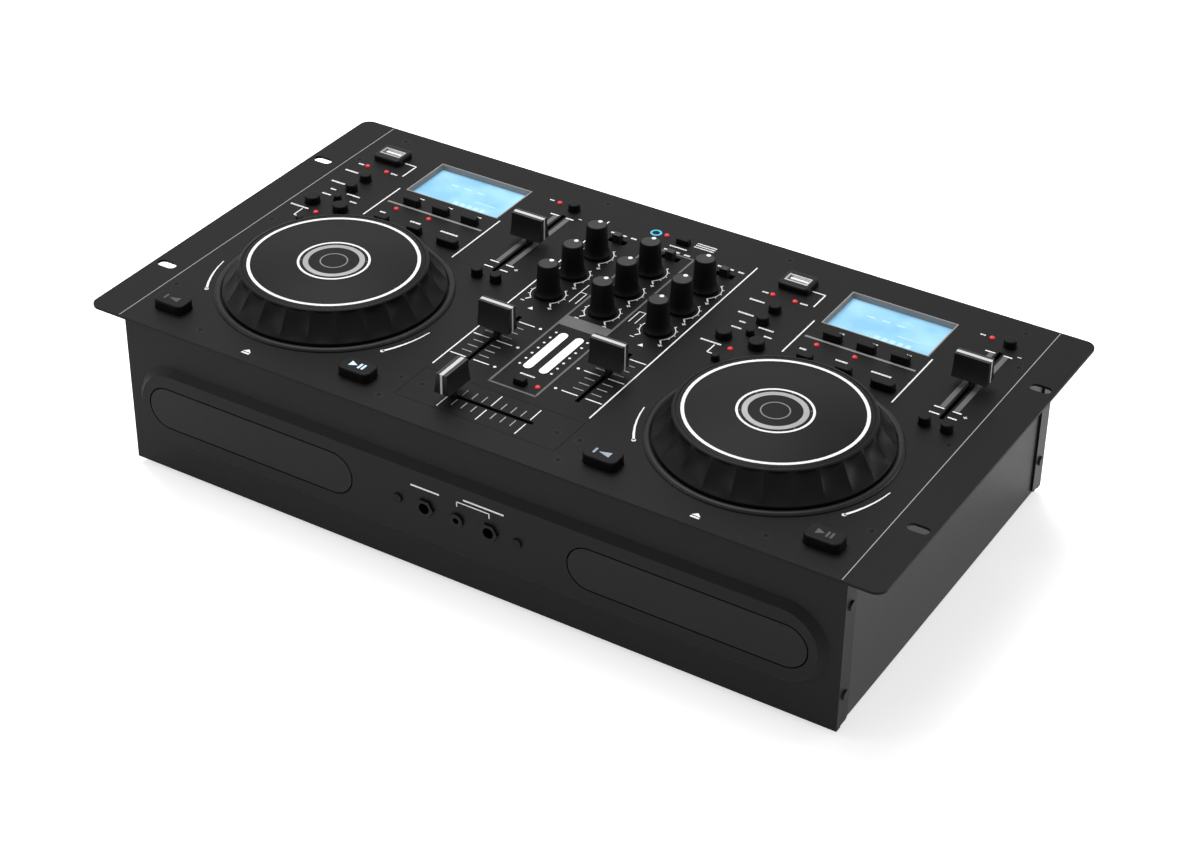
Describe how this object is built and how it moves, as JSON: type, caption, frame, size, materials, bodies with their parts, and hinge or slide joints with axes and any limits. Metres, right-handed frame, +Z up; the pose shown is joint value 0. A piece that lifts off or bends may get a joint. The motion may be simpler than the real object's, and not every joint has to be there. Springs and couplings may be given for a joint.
{
  "type": "dual disc player console",
  "caption": "Rack-top twin disc and USB player with jog wheels, sliding disc trays, pitch faders, lit displays and a built-in mixer with knobs and faders.",
  "frame": {"origin": "on the floor under the middle of the case", "axes": "+X to the right seen from the front, +Y to the back, +Z up"},
  "size_m": [0.4826, 0.2594, 0.1214],
  "materials": {
    "plate_coat": "satin black powder coat",
    "case_coat": "satin black powder coat",
    "front_coat": "satin black powder coat",
    "foot_rubber": "moulded black rubber",
    "black_screw": "black oxide steel",
    "jog_plastic": "soft-touch black",
    "surround_plastic": "moulded black",
    "spindle_plastic": "natural acetal",
    "board": "solder mask on laminate",
    "lamp_red": "tinted lens",
    "pot_metal": "plated sheet cans",
    "meter_white": "white light pipe",
    "display_frame": "moulded grey frame",
    "socket_black": "moulded black",
    "drive_steel": "zinc plated sheet",
    "tray_plastic": "moulded black",
    "hub_plastic": "moulded black",
    "knob_rubber": "soft-touch black",
    "fader_cap": "moulded black",
    "key_plastic": "moulded black",
    "key_rubber": "moulded silicone rubber",
    "switch_cap": "moulded black"
  },
  "bodies": {
    "case": {"top_plate": "plate_coat", "base_pan": "case_coat", "front_panel": "front_coat", "rear_panel": "case_coat", "crossfader_plate": "plate_coat", "rubber_feet": "foot_rubber", "case_screws": "black_screw", "jog_surrounds": "surround_plastic", "jog_spindles": "spindle_plastic", "control_boards": "board", "indicator_lamps": "lamp_red", "control_pots": "pot_metal", "level_meter": "meter_white", "display_modules": "display_frame", "usb_sockets": "socket_black", "front_jacks": "socket_black", "rear_sockets": "socket_black", "power_supply": "board", "drive_frame_a": "drive_steel", "drive_frame_b": "drive_steel"},
    "jog_wheel_a": {"jog_wheel_a": "jog_plastic"},
    "jog_wheel_b": {"jog_wheel_b": "jog_plastic"},
    "disc_tray_a": {"disc_tray_a": "tray_plastic"},
    "disc_hub_a": {"disc_hub_a": "hub_plastic"},
    "disc_tray_b": {"disc_tray_b": "tray_plastic"},
    "disc_hub_b": {"disc_hub_b": "hub_plastic"},
    "knob_left_top": {"knob_left_top": "knob_rubber"},
    "knob_left_centre": {"knob_left_centre": "knob_rubber"},
    "knob_left_low": {"knob_left_low": "knob_rubber"},
    "knob_middle_top": {"knob_middle_top": "knob_rubber"},
    "knob_middle_centre": {"knob_middle_centre": "knob_rubber"},
    "knob_middle_low": {"knob_middle_low": "knob_rubber"},
    "knob_right_top": {"knob_right_top": "knob_rubber"},
    "knob_right_centre": {"knob_right_centre": "knob_rubber"},
    "knob_right_low": {"knob_right_low": "knob_rubber"},
    "crossfader_cap": {"crossfader_cap": "fader_cap"},
    "channel_fader_left": {"channel_fader_left": "fader_cap"},
    "channel_fader_right": {"channel_fader_right": "fader_cap"},
    "pitch_fader_a": {"pitch_fader_a": "fader_cap"},
    "pitch_fader_b": {"pitch_fader_b": "fader_cap"},
    "cue_key_a": {"cue_key_a": "key_rubber"},
    "play_key_a": {"play_key_a": "key_rubber"},
    "function_keys_a": {"function_keys_a": "key_plastic"},
    "track_keys_a": {"track_keys_a": "key_plastic"},
    "display_keys_a": {"display_keys_a": "key_plastic"},
    "mode_keys_a": {"mode_keys_a": "key_plastic"},
    "pitch_keys_a": {"pitch_keys_a": "key_plastic"},
    "cue_key_b": {"cue_key_b": "key_rubber"},
    "play_key_b": {"play_key_b": "key_rubber"},
    "function_keys_b": {"function_keys_b": "key_plastic"},
    "track_keys_b": {"track_keys_b": "key_plastic"},
    "display_keys_b": {"display_keys_b": "key_plastic"},
    "mode_keys_b": {"mode_keys_b": "key_plastic"},
    "pitch_keys_b": {"pitch_keys_b": "key_plastic"},
    "meter_key": {"meter_key": "key_plastic"},
    "pairing_key": {"pairing_key": "key_plastic"},
    "source_switch_left": {"source_switch_left": "switch_cap"},
    "source_switch_middle": {"source_switch_middle": "switch_cap"},
    "source_switch_right": {"source_switch_right": "switch_cap"},
    "power_rocker": {"power_rocker": "switch_cap"}
  },
  "joints": [
    {"name": "jog_a_turn", "type": "hinge", "parent": "case", "child": "jog_wheel_a", "pos_m": [-0.1375, -0.0436, 0.112], "axis": [0, 0, 1], "continuous": true},
    {"name": "jog_b_turn", "type": "hinge", "parent": "case", "child": "jog_wheel_b", "pos_m": [0.1375, -0.0436, 0.112], "axis": [0, 0, 1], "continuous": true},
    {"name": "tray_a_slide", "type": "slide", "parent": "case", "child": "disc_tray_a", "axis": [0, -1, 0], "range_m": [0, 0.13]},
    {"name": "hub_a_turn", "type": "hinge", "parent": "case", "child": "disc_hub_a", "pos_m": [-0.13575, -0.0555, 0.045], "axis": [0, 0, 1], "continuous": true},
    {"name": "tray_b_slide", "type": "slide", "parent": "case", "child": "disc_tray_b", "axis": [0, -1, 0], "range_m": [0, 0.13]},
    {"name": "hub_b_turn", "type": "hinge", "parent": "case", "child": "disc_hub_b", "pos_m": [0.13575, -0.0555, 0.045], "axis": [0, 0, 1], "continuous": true},
    {"name": "knob_left_top_turn", "type": "hinge", "parent": "case", "child": "knob_left_top", "pos_m": [-0.035, 0.0655, 0.1], "axis": [0, 0, 1], "range_deg": [-150, 150]},
    {"name": "knob_left_centre_turn", "type": "hinge", "parent": "case", "child": "knob_left_centre", "pos_m": [-0.035, 0.04, 0.1], "axis": [0, 0, 1], "range_deg": [-150, 150]},
    {"name": "knob_left_low_turn", "type": "hinge", "parent": "case", "child": "knob_left_low", "pos_m": [-0.035, 0.0145, 0.1], "axis": [0, 0, 1], "range_deg": [-150, 150]},
    {"name": "knob_middle_top_turn", "type": "hinge", "parent": "case", "child": "knob_middle_top", "pos_m": [0, 0.0655, 0.1], "axis": [0, 0, 1], "range_deg": [-150, 150]},
    {"name": "knob_middle_centre_turn", "type": "hinge", "parent": "case", "child": "knob_middle_centre", "pos_m": [0, 0.04, 0.1], "axis": [0, 0, 1], "range_deg": [-150, 150]},
    {"name": "knob_middle_low_turn", "type": "hinge", "parent": "case", "child": "knob_middle_low", "pos_m": [0, 0.0145, 0.1], "axis": [0, 0, 1], "range_deg": [-150, 150]},
    {"name": "knob_right_top_turn", "type": "hinge", "parent": "case", "child": "knob_right_top", "pos_m": [0.035, 0.0655, 0.1], "axis": [0, 0, 1], "range_deg": [-150, 150]},
    {"name": "knob_right_centre_turn", "type": "hinge", "parent": "case", "child": "knob_right_centre", "pos_m": [0.035, 0.04, 0.1], "axis": [0, 0, 1], "range_deg": [-150, 150]},
    {"name": "knob_right_low_turn", "type": "hinge", "parent": "case", "child": "knob_right_low", "pos_m": [0.035, 0.0145, 0.1], "axis": [0, 0, 1], "range_deg": [-150, 150]},
    {"name": "crossfader_slide", "type": "slide", "parent": "case", "child": "crossfader_cap", "axis": [1, 0, 0], "range_m": [0, 0.045]},
    {"name": "channel_fader_left_slide", "type": "slide", "parent": "case", "child": "channel_fader_left", "axis": [0, 1, 0], "range_m": [-0.0266, 0.0184]},
    {"name": "channel_fader_right_slide", "type": "slide", "parent": "case", "child": "channel_fader_right", "axis": [0, 1, 0], "range_m": [-0.0266, 0.0184]},
    {"name": "pitch_fader_a_slide", "type": "slide", "parent": "case", "child": "pitch_fader_a", "axis": [0, 1, 0], "range_m": [-0.03, 0.03]},
    {"name": "pitch_fader_b_slide", "type": "slide", "parent": "case", "child": "pitch_fader_b", "axis": [0, 1, 0], "range_m": [-0.03, 0.03]},
    {"name": "cue_key_a_press", "type": "slide", "parent": "case", "child": "cue_key_a", "axis": [0, 0, -1], "range_m": [0, 0.0012], "stiffness_N_per_m": 300, "springref_m": -0.001},
    {"name": "play_key_a_press", "type": "slide", "parent": "case", "child": "play_key_a", "axis": [0, 0, -1], "range_m": [0, 0.0012], "stiffness_N_per_m": 300, "springref_m": -0.001},
    {"name": "function_keys_a_press", "type": "slide", "parent": "case", "child": "function_keys_a", "axis": [0, 0, -1], "range_m": [0, 0.0012], "stiffness_N_per_m": 300, "springref_m": -0.001},
    {"name": "track_keys_a_press", "type": "slide", "parent": "case", "child": "track_keys_a", "axis": [0, 0, -1], "range_m": [0, 0.0012], "stiffness_N_per_m": 300, "springref_m": -0.001},
    {"name": "display_keys_a_press", "type": "slide", "parent": "case", "child": "display_keys_a", "axis": [0, 0, -1], "range_m": [0, 0.0012], "stiffness_N_per_m": 300, "springref_m": -0.001},
    {"name": "mode_keys_a_press", "type": "slide", "parent": "case", "child": "mode_keys_a", "axis": [0, 0, -1], "range_m": [0, 0.0012], "stiffness_N_per_m": 300, "springref_m": -0.001},
    {"name": "pitch_keys_a_press", "type": "slide", "parent": "case", "child": "pitch_keys_a", "axis": [0, 0, -1], "range_m": [0, 0.0012], "stiffness_N_per_m": 300, "springref_m": -0.001},
    {"name": "cue_key_b_press", "type": "slide", "parent": "case", "child": "cue_key_b", "axis": [0, 0, -1], "range_m": [0, 0.0012], "stiffness_N_per_m": 300, "springref_m": -0.001},
    {"name": "play_key_b_press", "type": "slide", "parent": "case", "child": "play_key_b", "axis": [0, 0, -1], "range_m": [0, 0.0012], "stiffness_N_per_m": 300, "springref_m": -0.001},
    {"name": "function_keys_b_press", "type": "slide", "parent": "case", "child": "function_keys_b", "axis": [0, 0, -1], "range_m": [0, 0.0012], "stiffness_N_per_m": 300, "springref_m": -0.001},
    {"name": "track_keys_b_press", "type": "slide", "parent": "case", "child": "track_keys_b", "axis": [0, 0, -1], "range_m": [0, 0.0012], "stiffness_N_per_m": 300, "springref_m": -0.001},
    {"name": "display_keys_b_press", "type": "slide", "parent": "case", "child": "display_keys_b", "axis": [0, 0, -1], "range_m": [0, 0.0012], "stiffness_N_per_m": 300, "springref_m": -0.001},
    {"name": "mode_keys_b_press", "type": "slide", "parent": "case", "child": "mode_keys_b", "axis": [0, 0, -1], "range_m": [0, 0.0012], "stiffness_N_per_m": 300, "springref_m": -0.001},
    {"name": "pitch_keys_b_press", "type": "slide", "parent": "case", "child": "pitch_keys_b", "axis": [0, 0, -1], "range_m": [0, 0.0012], "stiffness_N_per_m": 300, "springref_m": -0.001},
    {"name": "meter_key_press", "type": "slide", "parent": "case", "child": "meter_key", "axis": [0, 0, -1], "range_m": [0, 0.0012], "stiffness_N_per_m": 300, "springref_m": -0.001},
    {"name": "pairing_key_press", "type": "slide", "parent": "case", "child": "pairing_key", "axis": [0, 0, -1], "range_m": [0, 0.0012], "stiffness_N_per_m": 300, "springref_m": -0.001},
    {"name": "source_switch_left_slide", "type": "slide", "parent": "case", "child": "source_switch_left", "axis": [1, 0, 0], "range_m": [-0.003, 0.003]},
    {"name": "source_switch_middle_slide", "type": "slide", "parent": "case", "child": "source_switch_middle", "axis": [1, 0, 0], "range_m": [-0.003, 0.003]},
    {"name": "source_switch_right_slide", "type": "slide", "parent": "case", "child": "source_switch_right", "axis": [1, 0, 0], "range_m": [-0.003, 0.003]},
    {"name": "power_rocker_tilt", "type": "hinge", "parent": "case", "child": "power_rocker", "pos_m": [0.134, 0.122, 0.05], "axis": [1, 0, 0], "range_deg": [0, 24]}
  ]
}
